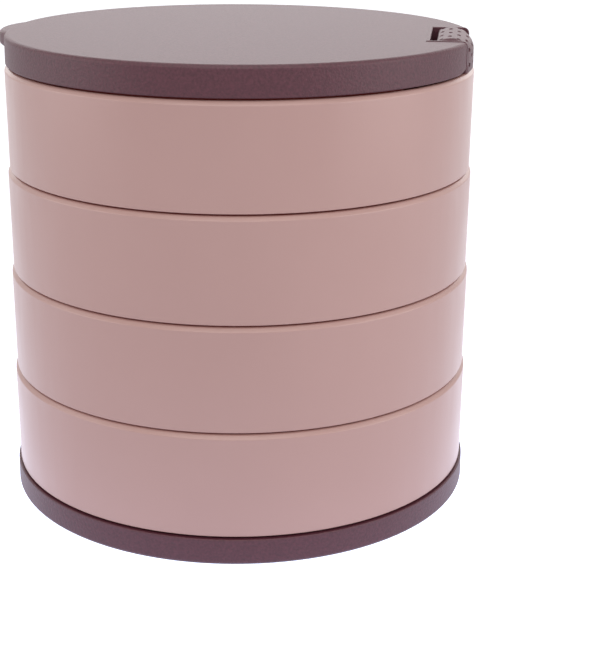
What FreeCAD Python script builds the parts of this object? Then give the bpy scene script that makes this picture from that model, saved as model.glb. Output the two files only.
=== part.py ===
import FreeCAD, Part
import math
import os

# A round jewellery box of four stacked trays that swing out about one upright shaft near the rim,
# with a flat lid that folds back on a hinge block standing over that shaft.
# Millimetres. The origin is the centre of the footprint on the table, +Z is up, +X points to the shaft.

# Main sizes
BOX_DIAMETER = 101.85       # over the top edge of a tray, the widest ring of the stack
TRAY_HEIGHT = 21.85
TRAY_COUNT = 4
BASE_HEIGHT = 5.65
LID_HEIGHT = 6.4
LAYER_GAP = 0.4             # open seam between any two layers

# Base
BASE_OVERHANG = 0.1         # base radius beyond the widest ring
BASE_DECK = 2.2
BASE_SKIRT = 1.8
BASE_BOTTOM_EDGE = 0.6
BASE_RIB = 1.4
BASE_RIB_COUNT = 8
BASE_HUB_RADIUS = 9.0
MAT_INSET = 4.225           # rubber mat that the box stands on, to the inside of the skirt
MAT_THICKNESS = 1.3
MAT_PROUD = 0.4             # the mat reaches this far below the skirt
MAT_SCALLOP = 8.0           # radius of the bite that leaves the screw of the shaft open

# Trays
TRAY_DRAFT = 0.4            # the wall leans in this much from top to bottom
TRAY_WALL = 1.6
TRAY_FLOOR = 1.8
TRAY_TOP_EDGE = 0.8         # eased edge under the seam
DIVIDER = 1.4
DIVIDER_DROP = 2.0          # dividers stop this far below the rim
POCKET_CORNER = 2.2
CUP_RADIUS = 24.0           # round cup in the bottom tray
CUP_SHIFT = 9.0             # its centre, away from the shaft
FAN_ANGLE = 62.0            # between the spokes on the fanned side of the second tray

# Shaft and what is threaded on it
SHAFT_DIAMETER = 6.0
SHAFT_FIT = 0.1             # radial clearance in the trays
BOSS_WALL = 3.0             # tray boss around the shaft
NECK_DIAMETER = 4.8         # lower end of the shaft, with a flat that keys it to the base
NECK_FLAT = 2.0             # axis to flat
NECK_FIT = 0.03
NECK_SHOULDER = 1.15        # the shaft stands this deep in the deck
BASE_BOSS_DROP = 3.45       # boss for the neck, below the top of the deck
WASHER_DIAMETER = 10.6
WASHER_THICKNESS = 0.8
WASHER_FIT = 0.04
WASHER_PLAY = 0.1           # axial clearance on each side of a washer
WASHER_ROOM = 0.4           # radial room around a washer in its recess
STEEL_WASHER_DIAMETER = 10.0
STEEL_WASHER_THICKNESS = 0.8
SPRING_DIAMETER = 9.6
SPRING_THICKNESS = 0.6
SPRING_DISH = 0.7           # height of the cone of the disc spring
SCREW_DIAMETER = 2.9
SCREW_FIT = 0.05
SCREW_LENGTH = 8.0
SCREW_HEAD_DIAMETER = 5.6
SCREW_HEAD_HEIGHT = 1.3
SCREW_TAP_SPARE = 1.0       # tapped hole beyond the end of the screw

# Hinge block, which closes the pocket over the end of the shaft
BLOCK_SEAT_DROP = 3.6       # seat below the rim of the top tray
BLOCK_LENGTH = 14.7         # inner end of the flange to the rim of the lid
BLOCK_FLANGE = 2.8
BLOCK_FLANGE_WIDTH = 25.0
BLOCK_FLANGE_CORNER = 3.0
BLOCK_FIT = 0.15            # flange to the walls of the seat
BLOCK_RIM_GAP = 0.2         # outer face of the block above the tray rim
BLOCK_PROUD = 0.5           # crest above the lid
BLOCK_CREST_RADIUS = 6.0
BLOCK_CREST_SHIFT = 0.1     # highest line of the crest, inside the pin
BLOCK_END_ROUND = 1.0
BLOCK_RIM_EDGE = 1.3        # eased where the crest turns down to the rim
SEAT_WALL = 1.8
SEAT_TOP = 2.2
BLOCK_SCREW_SHANK = 2.5
BLOCK_SCREW_HEAD = 4.6
BLOCK_SCREW_HEAD_HEIGHT = 1.4
BLOCK_SCREW_LENGTH = 8.5    # head and shank together
BLOCK_SCREW_SPACING = 17.0
BLOCK_SCREW_INSET = 3.4     # flange end to screw
BLOCK_SCREW_FIT = 0.05
BLOCK_SCREW_BOSS = 5.4
HEAD_ROOM = 0.3             # under the block, above the screw of the shaft
COUNTERBORE_ROOM = 0.7      # radial room around the hardware on top of the shaft

# Lid
LID_STEP = 0.225            # lid radius inside the widest ring
LID_TOP = 1.8
LID_SKIRT = 1.7
LID_TOP_EDGE = 0.75
NOTCH_DEPTH = 9.2           # rim to inner edge of the notch for the hinge block
NOTCH_WIDTH = 22.2
NOTCH_BACK = 1.8            # wall behind the notch
NOTCH_BACK_HEIGHT = 4.6
CHEEK = 2.4                 # walls at the two sides of the notch, which take the pin
CHEEK_RISE = 0.2            # cheeks end above the bottom of the skirt
HINGE_SIDE_GAP = 0.35
HINGE_END_GAP = 1.7
TAB_REACH = 2.8
TAB_RADIUS = 17.0
TAB_BLEND = 7.0
TAB_HEIGHT = 3.4
TAB_DROP = 0.35             # below the top of the lid
TAB_EDGE = 0.8

# Lid hinge
PIN_DIAMETER = 2.0
PIN_INSET = 3.7             # rim to pin
PIN_DROP = 3.65             # top of the lid to pin
PIN_REACH = 1.8             # into each cheek
PIN_FIT = 0.02
PIN_RUNNING_FIT = 0.08
PIN_END_PLAY = 0.2
HINGE_SWEEP_GAP = 0.35      # what the turning lid keeps clear of the tray rim

# Mirror
MIRROR_MARGIN = 1.2         # bezel to the wall behind the notch
MIRROR_THICKNESS = 1.8
MIRROR_FIT = 0.3
TAPE_THICKNESS = 0.5
TAPE_LENGTH = 44.0
TAPE_WIDTH = 12.0
TAPE_SPACING = 32.0         # between the middles of the two strips
BEZEL_WALL = 1.2
BEZEL_PROUD = 0.25          # bezel below the face of the mirror

# Ring sponge
SPONGE_ROLLS = 6
SPONGE_PITCH = 7.2
SPONGE_LENGTH = 55.0
SPONGE_FIT = 0.3
SPONGE_SLIT = 0.7
SPONGE_SLIT_DEPTH = 8.5
SPONGE_PROUD = 0.6          # crest above the dividers
RING_WELL_INSET = 3.8       # wall of the tray to the corner of the ring well, along X
SPONGE_CORNER = 2.4

# Places that follow from the sizes
RADIUS = BOX_DIAMETER / 2
WELL_RADIUS = RADIUS - TRAY_WALL
BASE_RADIUS = RADIUS + BASE_OVERHANG
LID_RADIUS = RADIUS - LID_STEP
BASE_TOP = MAT_PROUD + BASE_HEIGHT
MAT_RADIUS = BASE_RADIUS - BASE_SKIRT - MAT_INSET
TRAY_PITCH = TRAY_HEIGHT + LAYER_GAP
STACK_TOP = BASE_TOP + TRAY_COUNT * TRAY_PITCH
LID_BOTTOM = STACK_TOP + LAYER_GAP
LID_TOP_Z = LID_BOTTOM + LID_HEIGHT
LID_INSIDE_Z = LID_TOP_Z - LID_TOP
SHAFT_RADIUS = SHAFT_DIAMETER / 2
NECK_RADIUS = NECK_DIAMETER / 2
BORE_RADIUS = SHAFT_RADIUS + SHAFT_FIT
BOSS_RADIUS = BORE_RADIUS + BOSS_WALL
PIVOT_X = WELL_RADIUS - BOSS_RADIUS
WASHER_RECESS = WASHER_THICKNESS + 2 * WASHER_PLAY - LAYER_GAP
SHOULDER_Z = BASE_TOP - NECK_SHOULDER
BASE_BOSS_Z = BASE_TOP - BASE_BOSS_DROP
SEAT_Z = STACK_TOP - BLOCK_SEAT_DROP
SHAFT_TOP_Z = SEAT_Z - HEAD_ROOM - SCREW_HEAD_HEIGHT - STEEL_WASHER_THICKNESS
SPRING_Z = SHAFT_TOP_Z - SPRING_THICKNESS - SPRING_DISH
THRUST_WASHER_Z = SPRING_Z - STEEL_WASHER_THICKNESS
TOP_BOSS_Z = THRUST_WASHER_Z - WASHER_PLAY
COUNTERBORE_RADIUS = max(STEEL_WASHER_DIAMETER, SPRING_DIAMETER) / 2 + COUNTERBORE_ROOM
PIN_X = LID_RADIUS - PIN_INSET
PIN_Z = LID_TOP_Z - PIN_DROP
NOTCH_X = LID_RADIUS - NOTCH_DEPTH
MIRROR_ROOM = NOTCH_X - NOTCH_BACK - MIRROR_MARGIN - BEZEL_WALL
MIRROR_RADIUS = MIRROR_ROOM - MIRROR_FIT
BLOCK_X = NOTCH_X + HINGE_END_GAP
BLOCK_WIDTH = NOTCH_WIDTH - 2 * HINGE_SIDE_GAP
BLOCK_CREST_Z = LID_TOP_Z + BLOCK_PROUD
BLOCK_INNER = LID_RADIUS - BLOCK_LENGTH
BLOCK_SCREW_X = BLOCK_INNER + BLOCK_SCREW_INSET
SPONGE_WIDTH = SPONGE_ROLLS * SPONGE_PITCH - SPONGE_SLIT
RING_WELL_HALF = SPONGE_LENGTH / 2 + SPONGE_FIT
RING_WELL_X0 = RING_WELL_INSET + DIVIDER - math.sqrt(WELL_RADIUS ** 2 - RING_WELL_HALF ** 2)
RING_WELL_X1 = RING_WELL_X0 + SPONGE_WIDTH + 2 * SPONGE_FIT

V = FreeCAD.Vector
ORIGIN = V(0, 0, 0)
Y_AXIS = V(0, 1, 0)
Z_AXIS = V(0, 0, 1)
BEYOND = 2 * BOX_DIAMETER   # larger than anything it cuts
TINY = 1e-5


def save(name, shape):
    """Write one node, a solid or a group of separate solids, as a STEP file."""
    if not shape.isValid():
        raise ValueError(name + " is not a valid shape")
    shape.exportStep("parts/" + name + ".step")
    print(name, len(shape.Solids), "solid(s)", round(shape.Volume, 2), "mm3")


def block(x0, x1, half_width, z0, z1):
    """A box between two X and two Z values, centred on Y."""
    return Part.makeBox(x1 - x0, 2 * half_width, z1 - z0, V(x0, -half_width, z0))


def disc(radius, z0, z1, x=0.0, y=0.0):
    """An upright cylinder between two heights."""
    return Part.makeCylinder(radius, z1 - z0, V(x, y, z0))


def ring(outer, inner, z0, z1, x=0.0, y=0.0):
    """An upright tube between two heights."""
    return disc(outer, z0, z1, x, y).cut(disc(inner, z0, z1, x, y))


def cross_bar(radius, half_length, x, z):
    """A cylinder along Y, centred on Y."""
    return Part.makeCylinder(radius, 2 * half_length, V(x, -half_length, z), Y_AXIS)


def flat_disc(radius, x=0.0, y=0.0):
    """A round face at height zero."""
    return Part.Face(Part.Wire(Part.Circle(V(x, y, 0), Z_AXIS, radius).toShape()))


def flat_bar(x0, x1, y0, y1):
    """A rectangular face at height zero."""
    return Part.makePlane(x1 - x0, y1 - y0, V(x0, y0, 0))


def spoke(x, y, degrees, width):
    """A long strip at height zero that starts at a point and runs in one direction."""
    strip = flat_bar(0, BEYOND, -width / 2, width / 2)
    strip.rotate(ORIGIN, Z_AXIS, degrees)
    strip.translate(V(x, y, 0))
    return strip


def raised(face, z0, z1):
    """A face at height zero made a solid between two heights."""
    lifted = face.copy()
    lifted.translate(V(0, 0, z0))
    return lifted.extrude(V(0, 0, z1 - z0))


def joined(shapes):
    """Shapes fused into one, without the seams between them."""
    return shapes[0].multiFuse(shapes[1:]).removeSplitter()


def rim_edges(solid, z):
    """The edges that lie flat at one height."""
    return [e for e in solid.Edges if abs(e.BoundBox.ZMin - z) < TINY and abs(e.BoundBox.ZMax - z) < TINY]


def corner_edges(solid):
    """The upright edges where two different walls meet."""
    upright = [e for e in solid.Edges if e.BoundBox.XLength < TINY and e.BoundBox.YLength < TINY]
    return [e for e in upright if len([f for f in solid.Faces if borders(f, e)]) == 2]


def borders(face, edge):
    """Whether an edge is one of the edges of a face."""
    return any(edge.isSame(other) for other in face.Edges)


def eased(solid, z, size):
    """A solid with the edges at one height cut back."""
    return solid.makeChamfer(size, rim_edges(solid, z))


# Base

def base_shell():
    """Shallow moulded disc, open below, with ribs and a hub for the mat and a boss for the shaft."""
    deck_under = BASE_TOP - BASE_DECK
    deck_middle = BASE_TOP - BASE_DECK / 2
    inside_radius = BASE_RADIUS - BASE_SKIRT
    outside = eased(disc(BASE_RADIUS, MAT_PROUD, BASE_TOP), MAT_PROUD, BASE_BOTTOM_EDGE)
    shell = outside.cut(disc(inside_radius, MAT_PROUD, deck_under))
    hub_middle = BASE_HUB_RADIUS - BASE_RIB / 2
    step = 360.0 / BASE_RIB_COUNT
    ribs = []
    for i in range(BASE_RIB_COUNT):
        rib = block(hub_middle, inside_radius + TINY, BASE_RIB / 2, MAT_THICKNESS, deck_middle)
        rib.rotate(ORIGIN, Z_AXIS, step * (i + 0.5))
        ribs.append(rib)
    hub = ring(BASE_HUB_RADIUS, BASE_HUB_RADIUS - BASE_RIB, MAT_THICKNESS, deck_middle)
    boss_radius = STEEL_WASHER_DIAMETER / 2 + WASHER_ROOM
    boss = disc(boss_radius, BASE_BOSS_Z, deck_middle, PIVOT_X)
    boss_root = block(PIVOT_X, inside_radius + BASE_SKIRT / 2, boss_radius, BASE_BOSS_Z, deck_middle)
    shell = joined([shell, hub, boss, boss_root] + ribs)
    shell = shell.cut(disc(WASHER_DIAMETER / 2 + WASHER_ROOM, BASE_TOP - WASHER_RECESS, BASE_TOP, PIVOT_X))
    shell = shell.cut(disc(SHAFT_RADIUS + NECK_FIT, SHOULDER_Z, BASE_TOP, PIVOT_X))
    return shell.cut(neck(NECK_FIT, BASE_BOSS_Z, SHOULDER_Z))


def neck(fit, z0, z1):
    """The lower end of the shaft, round with one flat, or the hole for it."""
    round_bar = disc(NECK_RADIUS + fit, z0, z1, PIVOT_X)
    keyed = block(PIVOT_X - BEYOND, PIVOT_X + NECK_FLAT + fit, NECK_DIAMETER, z0, z1)
    return round_bar.common(keyed)


def grip_mat():
    """Rubber mat glued to the ribs, with a bite beside the screw of the shaft."""
    outline = flat_disc(MAT_RADIUS).cut(flat_disc(MAT_SCALLOP, PIVOT_X))
    return raised(outline, 0.0, MAT_THICKNESS)


# Shaft

def pivot_shaft():
    """Steel shaft from the base to the top tray, keyed below and tapped at both ends."""
    bar = disc(SHAFT_RADIUS, SHOULDER_Z, SHAFT_TOP_Z, PIVOT_X)
    shaft = joined([bar, neck(0.0, BASE_BOSS_Z, SHOULDER_Z + TINY)])
    tap_radius = SCREW_DIAMETER / 2 + SCREW_FIT
    depth = SCREW_LENGTH + SCREW_TAP_SPARE
    shaft = shaft.cut(disc(tap_radius, SHAFT_TOP_Z - depth, SHAFT_TOP_Z, PIVOT_X))
    return shaft.cut(disc(tap_radius, BASE_BOSS_Z, BASE_BOSS_Z + depth, PIVOT_X))


def top_screw():
    """Screw that holds the washers down, head up."""
    under_head = SHAFT_TOP_Z + STEEL_WASHER_THICKNESS
    head = disc(SCREW_HEAD_DIAMETER / 2, under_head, under_head + SCREW_HEAD_HEIGHT, PIVOT_X)
    return joined([head, disc(SCREW_DIAMETER / 2, under_head - SCREW_LENGTH, under_head + TINY, PIVOT_X)])


def bottom_screw():
    """Screw that pulls the shaft into the base, head down."""
    under_head = BASE_BOSS_Z - STEEL_WASHER_THICKNESS
    head = disc(SCREW_HEAD_DIAMETER / 2, under_head - SCREW_HEAD_HEIGHT, under_head, PIVOT_X)
    return joined([head, disc(SCREW_DIAMETER / 2, under_head - TINY, under_head + SCREW_LENGTH, PIVOT_X)])


def steel_washer(z, bore):
    return ring(STEEL_WASHER_DIAMETER / 2, bore, z, z + STEEL_WASHER_THICKNESS, PIVOT_X)


def friction_washer(tray_bottom):
    """Plastic washer that carries one tray, sunk in the top of the part below."""
    z = tray_bottom - LAYER_GAP - WASHER_RECESS + WASHER_PLAY
    return ring(WASHER_DIAMETER / 2, SHAFT_RADIUS + WASHER_FIT, z, z + WASHER_THICKNESS, PIVOT_X)


def disc_spring():
    """Dished spring washer that keeps the trays from swinging by themselves."""
    bore = SHAFT_RADIUS + WASHER_FIT
    rim = SPRING_DIAMETER / 2
    section = Part.makePolygon([
        V(bore, 0, SPRING_DISH),
        V(rim, 0, 0),
        V(rim, 0, SPRING_THICKNESS),
        V(bore, 0, SPRING_DISH + SPRING_THICKNESS),
        V(bore, 0, SPRING_DISH),
    ])
    spring = Part.Face(section).revolve(ORIGIN, Z_AXIS, 360)
    spring.translate(V(PIVOT_X, 0, SPRING_Z))
    return spring


# Trays

def tray_bottom(number):
    """The underside of a tray, counted from the top of the stack."""
    return BASE_TOP + LAYER_GAP + (TRAY_COUNT - number) * TRAY_PITCH


def boss_outline():
    """The boss of the shaft, run out into the wall of the tray."""
    return joined([flat_disc(BOSS_RADIUS, PIVOT_X), flat_bar(PIVOT_X, RADIUS, -BOSS_RADIUS, BOSS_RADIUS)])


def pocket(face, floor, top):
    """One compartment with rounded corners."""
    solid = raised(face, floor, top)
    corners = corner_edges(solid)
    return solid.makeFillet(POCKET_CORNER, corners) if corners else solid


def tray(bottom, dividers, kept, kept_top):
    """A moulded tray. The dividers split its well, and the kept outline stands up around the shaft."""
    top = bottom + TRAY_HEIGHT
    divider_top = top - DIVIDER_DROP
    body = eased(Part.makeCone(RADIUS - TRAY_DRAFT, RADIUS, TRAY_HEIGHT, V(0, 0, bottom)), top, TRAY_TOP_EDGE)
    well = flat_disc(WELL_RADIUS)
    body = body.cut(raised(well.cut(kept), divider_top, top))
    for face in well.cut(Part.makeCompound(dividers + [kept])).Faces:
        body = body.cut(pocket(face, bottom + TRAY_FLOOR, divider_top))
    body = body.cut(raised(kept.common(well), kept_top, top))
    return body.cut(disc(BORE_RADIUS, bottom, kept_top, PIVOT_X)).removeSplitter()


def plain_tray(number, dividers):
    """A tray whose boss ends under the washer of the tray above."""
    bottom = tray_bottom(number)
    return tray(bottom, dividers, boss_outline(), bottom + TRAY_HEIGHT - WASHER_RECESS)


def bottom_tray():
    """A round cup for a watch, with a wide channel around it for bracelets."""
    cup = flat_disc(CUP_RADIUS + DIVIDER, -CUP_SHIFT).cut(flat_disc(CUP_RADIUS, -CUP_SHIFT))
    return plain_tray(4, [cup])


def third_tray():
    """One half moon and two quarters."""
    across = flat_bar(-DIVIDER / 2, DIVIDER / 2, -BEYOND, BEYOND)
    return plain_tray(3, [across, spoke(0, 0, 180, DIVIDER)])


def second_tray():
    """Two compartments on one side of a straight divider and three in a fan on the other."""
    along = flat_bar(-BEYOND, BEYOND, -DIVIDER / 2, DIVIDER / 2)
    fan = [spoke(0, 0, -90 - FAN_ANGLE / 2, DIVIDER), spoke(0, 0, -90 + FAN_ANGLE / 2, DIVIDER)]
    return plain_tray(2, [along, spoke(0, 0, 90, DIVIDER)] + fan)


def seat_outline(margin):
    """The platform under the hinge block, or with a margin the hollow inside it."""
    half = BLOCK_FLANGE_WIDTH / 2 + BLOCK_FIT - margin
    return flat_bar(BLOCK_INNER - BLOCK_FIT + margin, RADIUS, -half, half)


def top_tray():
    """Ring well in the middle, four compartments around it and a hollow platform for the hinge block."""
    bottom = tray_bottom(1)
    half = RING_WELL_HALF
    dividers = [
        flat_bar(-BEYOND, BEYOND, half, half + DIVIDER),
        flat_bar(-BEYOND, BEYOND, -half - DIVIDER, -half),
        flat_bar(RING_WELL_X0 - DIVIDER, RING_WELL_X0, -half, half),
        flat_bar(RING_WELL_X1, RING_WELL_X1 + DIVIDER, -half, half),
    ]
    body = tray(bottom, dividers, seat_outline(0.0), SEAT_Z)
    solid_parts = [
        disc(BOSS_RADIUS, bottom, STACK_TOP, PIVOT_X),
        disc(COUNTERBORE_RADIUS + SEAT_WALL, TOP_BOSS_Z - SEAT_TOP, STACK_TOP, PIVOT_X),
    ]
    for y in block_screw_places():
        solid_parts.append(disc(BLOCK_SCREW_BOSS / 2, bottom, STACK_TOP, BLOCK_SCREW_X, y))
    hollow = raised(seat_outline(SEAT_WALL), bottom, SEAT_Z - SEAT_TOP)
    hollow = hollow.common(disc(WELL_RADIUS - SEAT_WALL, bottom, SEAT_Z))
    body = body.cut(hollow.cut(Part.makeCompound(solid_parts)))
    body = body.cut(disc(COUNTERBORE_RADIUS, TOP_BOSS_Z, SEAT_Z, PIVOT_X))
    for y in block_screw_places():
        body = body.cut(block_screw(BLOCK_SCREW_FIT, y))
    return body.removeSplitter()


# Hinge block

def block_screw_places():
    return -BLOCK_SCREW_SPACING / 2, BLOCK_SCREW_SPACING / 2


def knuckle_section():
    """Side view of the part that fills the notch of the lid, with an arched crest."""
    z0 = STACK_TOP + BLOCK_RIM_GAP
    centre_x = PIN_X - BLOCK_CREST_SHIFT
    centre_z = BLOCK_CREST_Z - BLOCK_CREST_RADIUS
    inner_r = BLOCK_CREST_RADIUS - BLOCK_END_ROUND
    round_x = BLOCK_X + BLOCK_END_ROUND
    round_z = centre_z + math.sqrt(inner_r ** 2 - (round_x - centre_x) ** 2)
    lean = math.atan2(round_z - centre_z, round_x - centre_x)
    start = V(BLOCK_X, 0, round_z)
    mid = on_arc(round_x, round_z, BLOCK_END_ROUND, (math.pi + lean) / 2)
    touch = on_arc(centre_x, centre_z, BLOCK_CREST_RADIUS, lean)
    crest = V(centre_x, 0, BLOCK_CREST_Z)
    far = on_arc(centre_x, centre_z, BLOCK_CREST_RADIUS, math.pi - lean)
    edges = [
        Part.LineSegment(V(BLOCK_X, 0, z0), start).toShape(),
        Part.Arc(start, mid, touch).toShape(),
        Part.Arc(touch, crest, far).toShape(),
        Part.LineSegment(far, V(far.x, 0, z0)).toShape(),
        Part.LineSegment(V(far.x, 0, z0), V(BLOCK_X, 0, z0)).toShape(),
    ]
    return Part.Face(Part.Wire(edges))


def on_arc(x, z, radius, angle):
    """A point of a circle seen from the side."""
    return V(x + radius * math.cos(angle), 0, z + radius * math.sin(angle))


def hinge_block():
    """Moulded block: a flange inside the tray and a knuckle that follows the rim of the lid."""
    half = BLOCK_WIDTH / 2
    flange_top = SEAT_Z + BLOCK_FLANGE
    section = knuckle_section()
    section.translate(V(0, -half, 0))
    knuckle = section.extrude(V(0, BLOCK_WIDTH, 0))
    knuckle = knuckle.common(eased(disc(LID_RADIUS, STACK_TOP, BLOCK_CREST_Z), BLOCK_CREST_Z, BLOCK_RIM_EDGE))
    in_tray = disc(WELL_RADIUS - BLOCK_FIT, SEAT_Z, BLOCK_CREST_Z)
    stem = block(BLOCK_X, BEYOND, half, flange_top - TINY, STACK_TOP + BLOCK_RIM_GAP).common(in_tray)
    flange = block(BLOCK_INNER, BEYOND, BLOCK_FLANGE_WIDTH / 2, SEAT_Z, flange_top)
    corners = [e for e in corner_edges(flange) if e.BoundBox.XMin < PIVOT_X]
    flange = flange.makeFillet(BLOCK_FLANGE_CORNER, corners).common(in_tray)
    body = joined([flange, stem, knuckle])
    body = body.cut(cross_bar(PIN_DIAMETER / 2 + PIN_FIT, BLOCK_WIDTH, PIN_X, PIN_Z))
    for y in block_screw_places():
        body = body.cut(block_screw(BLOCK_SCREW_FIT, y))
    return body


def block_screw(fit, y):
    """Screw with its head sunk flush in the flange, or with a fit the hole for it."""
    top = SEAT_Z + BLOCK_FLANGE
    end = top - BLOCK_SCREW_LENGTH - fit
    head = disc(BLOCK_SCREW_HEAD / 2 + fit, top - BLOCK_SCREW_HEAD_HEIGHT, top, BLOCK_SCREW_X, y)
    return joined([head, disc(BLOCK_SCREW_SHANK / 2 + fit, end, top, BLOCK_SCREW_X, y)])


def hinge_screws():
    return Part.makeCompound([block_screw(0.0, y) for y in block_screw_places()])


def hinge_pin():
    """Steel pin held in the block, with both ends in the cheeks of the lid."""
    return cross_bar(PIN_DIAMETER / 2, BLOCK_WIDTH / 2 + HINGE_SIDE_GAP + PIN_REACH, PIN_X, PIN_Z)


# Lid

def tab_outline():
    """The finger tab, blended into the rim on both sides."""
    centre_x = -(LID_RADIUS + TAB_REACH - TAB_RADIUS)
    blend_orbit = LID_RADIUS + TAB_BLEND
    reach = TAB_RADIUS + TAB_BLEND
    x = (reach ** 2 - blend_orbit ** 2 - centre_x ** 2) / (-2 * centre_x)
    y = math.sqrt(blend_orbit ** 2 - x ** 2)
    on_rim = V(x * LID_RADIUS / blend_orbit, y * LID_RADIUS / blend_orbit, 0)
    on_tab = V(centre_x + (x - centre_x) * TAB_RADIUS / reach, y * TAB_RADIUS / reach, 0)
    towards = V((on_rim.x + on_tab.x) / 2 - x, (on_rim.y + on_tab.y) / 2 - y, 0).normalize()
    bend = V(x, y, 0) + towards * TAB_BLEND
    tip = V(centre_x - TAB_RADIUS, 0, 0)
    far_rim, far_bend, far_tab = [V(p.x, -p.y, 0) for p in (on_rim, bend, on_tab)]
    edges = [
        Part.Arc(on_rim, bend, on_tab).toShape(),
        Part.Arc(on_tab, tip, far_tab).toShape(),
        Part.Arc(far_tab, far_bend, far_rim).toShape(),
        Part.LineSegment(far_rim, on_rim).toShape(),
    ]
    return Part.Face(Part.Wire(edges))


def finger_tab():
    top = LID_TOP_Z - TAB_DROP
    tab = raised(tab_outline(), top - TAB_HEIGHT, top)
    outer = [e for e in rim_edges(tab, top) + rim_edges(tab, top - TAB_HEIGHT) if e.BoundBox.XLength > TINY]
    return tab.makeChamfer(TAB_EDGE, outer)


def lid():
    """Flat lid with a skirt, a notch and cheeks at the hinge, a bezel for the mirror and a finger tab."""
    top_middle = LID_TOP_Z - LID_TOP / 2
    outside = eased(disc(LID_RADIUS, LID_BOTTOM, LID_TOP_Z), LID_TOP_Z, LID_TOP_EDGE)
    shell = outside.cut(disc(LID_RADIUS - LID_SKIRT, LID_BOTTOM, LID_INSIDE_Z))
    half = NOTCH_WIDTH / 2
    box = block(NOTCH_X - NOTCH_BACK, BEYOND, half + CHEEK, LID_BOTTOM + CHEEK_RISE, top_middle)
    under_back = block(NOTCH_X - NOTCH_BACK, NOTCH_X, half, LID_BOTTOM, LID_TOP_Z - NOTCH_BACK_HEIGHT)
    box = box.common(outside).cut(under_back)
    bezel_bottom = LID_INSIDE_Z - TAPE_THICKNESS - MIRROR_THICKNESS - BEZEL_PROUD
    bezel = ring(MIRROR_ROOM + BEZEL_WALL, MIRROR_ROOM, bezel_bottom, top_middle)
    tab = finger_tab().cut(disc(LID_RADIUS - LID_SKIRT / 2, LID_BOTTOM, LID_TOP_Z))
    body = joined([shell, box, bezel, tab])
    body = body.cut(block(NOTCH_X, BEYOND, half, LID_BOTTOM - LID_HEIGHT, LID_TOP_Z + LID_HEIGHT))
    body = body.cut(hinge_relief())
    sockets = cross_bar(PIN_DIAMETER / 2 + PIN_RUNNING_FIT, half + PIN_REACH + PIN_END_PLAY, PIN_X, PIN_Z)
    return body.cut(sockets)


def hinge_relief():
    """The corner of the skirt beyond the pin, which would strike the tray rim as the lid opens."""
    radius = PIN_Z - STACK_TOP - HINGE_SWEEP_GAP
    corner = block(PIN_X, BEYOND, LID_RADIUS / 2, LID_BOTTOM - LID_HEIGHT, PIN_Z)
    return corner.cut(cross_bar(radius, LID_RADIUS, PIN_X, PIN_Z))


def mirror_tape():
    """Two strips of foam tape between the lid and the back of the mirror."""
    strips = []
    for y in (-TAPE_SPACING / 2, TAPE_SPACING / 2):
        outline = flat_bar(-TAPE_LENGTH / 2, TAPE_LENGTH / 2, y - TAPE_WIDTH / 2, y + TAPE_WIDTH / 2)
        strips.append(raised(outline, LID_INSIDE_Z - TAPE_THICKNESS, LID_INSIDE_Z))
    return Part.makeCompound(strips)


def mirror():
    """Round glass mirror, face down."""
    top = LID_INSIDE_Z - TAPE_THICKNESS
    return disc(MIRROR_RADIUS, top - MIRROR_THICKNESS, top)


# Ring sponge

def ring_sponge():
    """One block of sponge, slit part way down into rolls with rounded crests."""
    bottom = tray_bottom(1) + TRAY_FLOOR + SPONGE_FIT
    crest = STACK_TOP - DIVIDER_DROP + SPONGE_PROUD
    slit_bottom = crest - SPONGE_SLIT_DEPTH
    roll_radius = (SPONGE_PITCH - SPONGE_SLIT) / 2
    shoulder = crest - roll_radius
    x0 = RING_WELL_X0 + SPONGE_FIT
    half = SPONGE_LENGTH / 2
    edges = []
    corner = V(x0, 0, bottom)
    for i in range(SPONGE_ROLLS):
        left = x0 + i * SPONGE_PITCH
        right = left + 2 * roll_radius
        rise = V(left, 0, shoulder)
        fall = V(right, 0, shoulder)
        foot = V(right, 0, slit_bottom if i < SPONGE_ROLLS - 1 else bottom)
        edges.append(Part.LineSegment(corner, rise).toShape())
        edges.append(Part.Arc(rise, V(left + roll_radius, 0, crest), fall).toShape())
        edges.append(Part.LineSegment(fall, foot).toShape())
        corner = V(left + SPONGE_PITCH, 0, slit_bottom) if i < SPONGE_ROLLS - 1 else V(x0, 0, bottom)
        edges.append(Part.LineSegment(foot, corner).toShape())
    section = Part.Face(Part.Wire(edges))
    section.translate(V(0, -half, 0))
    sponge = section.extrude(V(0, SPONGE_LENGTH, 0))
    blank = raised(flat_bar(x0, x0 + SPONGE_WIDTH, -half, half), bottom, crest)
    return sponge.common(blank.makeFillet(SPONGE_CORNER, corner_edges(blank)))


def main():
    os.makedirs("parts", exist_ok=True)
    save("base_shell", base_shell())
    save("grip_mat", grip_mat())
    save("pivot_shaft", pivot_shaft())
    save("bottom_washer", steel_washer(BASE_BOSS_Z - STEEL_WASHER_THICKNESS, SCREW_DIAMETER / 2 + SCREW_FIT))
    save("bottom_screw", bottom_screw())
    for number in range(1, TRAY_COUNT + 1):
        save("friction_washer_" + str(number), friction_washer(tray_bottom(number)))
    save("thrust_washer", steel_washer(THRUST_WASHER_Z, SHAFT_RADIUS + WASHER_FIT))
    save("disc_spring", disc_spring())
    save("top_washer", steel_washer(SHAFT_TOP_Z, SCREW_DIAMETER / 2 + SCREW_FIT))
    save("top_screw", top_screw())
    save("tray_4", bottom_tray())
    save("tray_3", third_tray())
    save("tray_2", second_tray())
    save("tray_1", top_tray())
    save("ring_sponge", ring_sponge())
    save("hinge_block", hinge_block())
    save("hinge_screws", hinge_screws())
    save("hinge_pin", hinge_pin())
    save("lid", lid())
    save("mirror_tape", mirror_tape())
    save("mirror", mirror())


main()
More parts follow.
